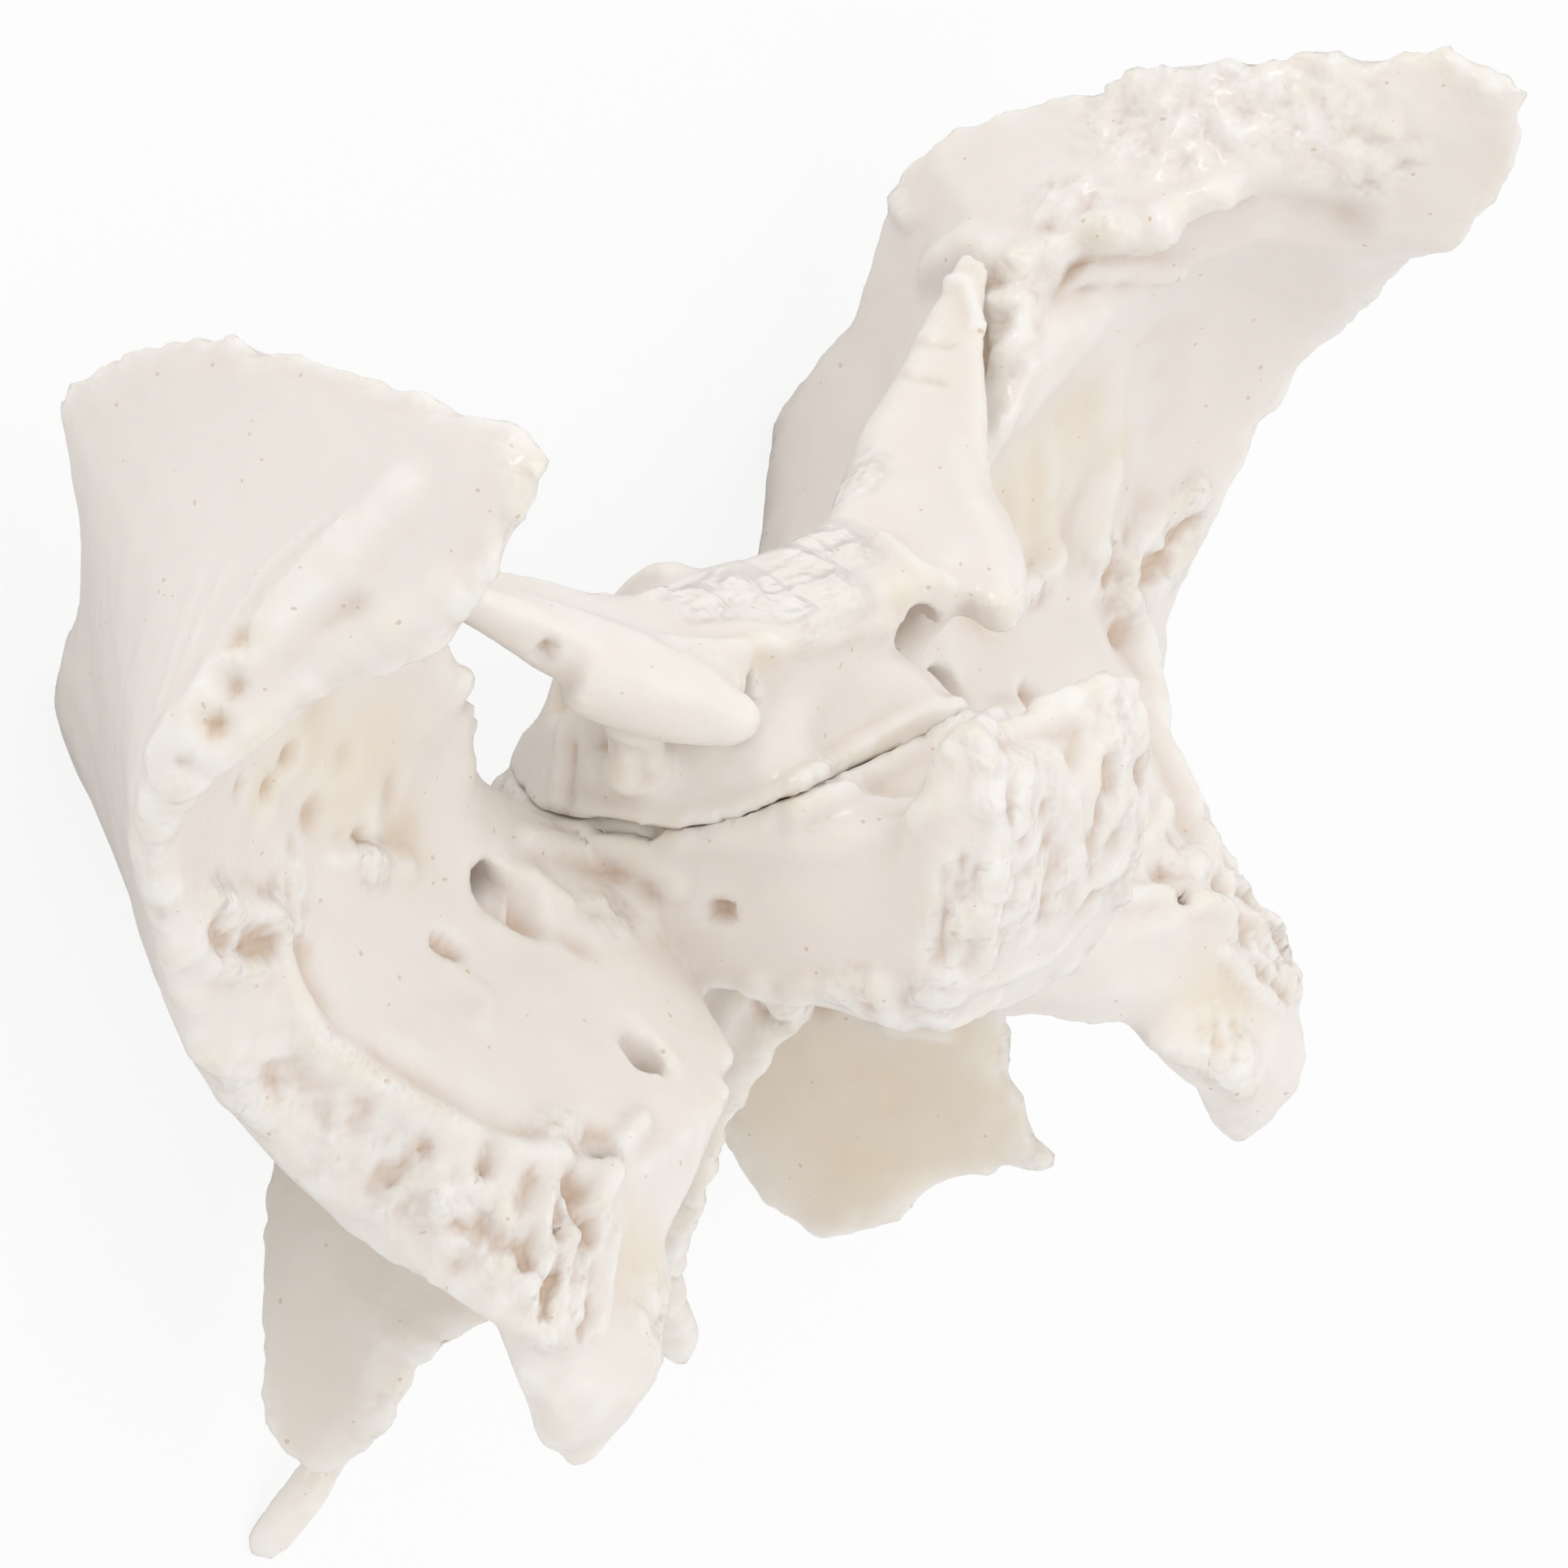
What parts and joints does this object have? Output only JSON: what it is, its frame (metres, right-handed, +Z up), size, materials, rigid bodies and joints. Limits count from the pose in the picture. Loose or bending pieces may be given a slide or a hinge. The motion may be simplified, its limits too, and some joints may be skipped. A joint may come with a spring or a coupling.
{
  "type": "sphenoid bone model",
  "caption": "Plastic teaching cast of one adult human sphenoid bone, two glued castings, lying at rest on its hamuli and zygomatic corners.",
  "frame": {"origin": "centre of the bottom of the bounding box of the resting bone, on the floor", "axes": "+Z up from the floor at rest, +X towards the bone's left side, +Y towards its pterygoid end"},
  "size_m": [0.1178, 0.0768, 0.0423],
  "materials": {
    "upper_casting": "semi-gloss ivory cast plastic",
    "lower_casting": "semi-gloss ivory cast plastic"
  },
  "bodies": {
    "root": {"upper_casting": "upper_casting", "lower_casting": "lower_casting"}
  },
  "joints": []
}
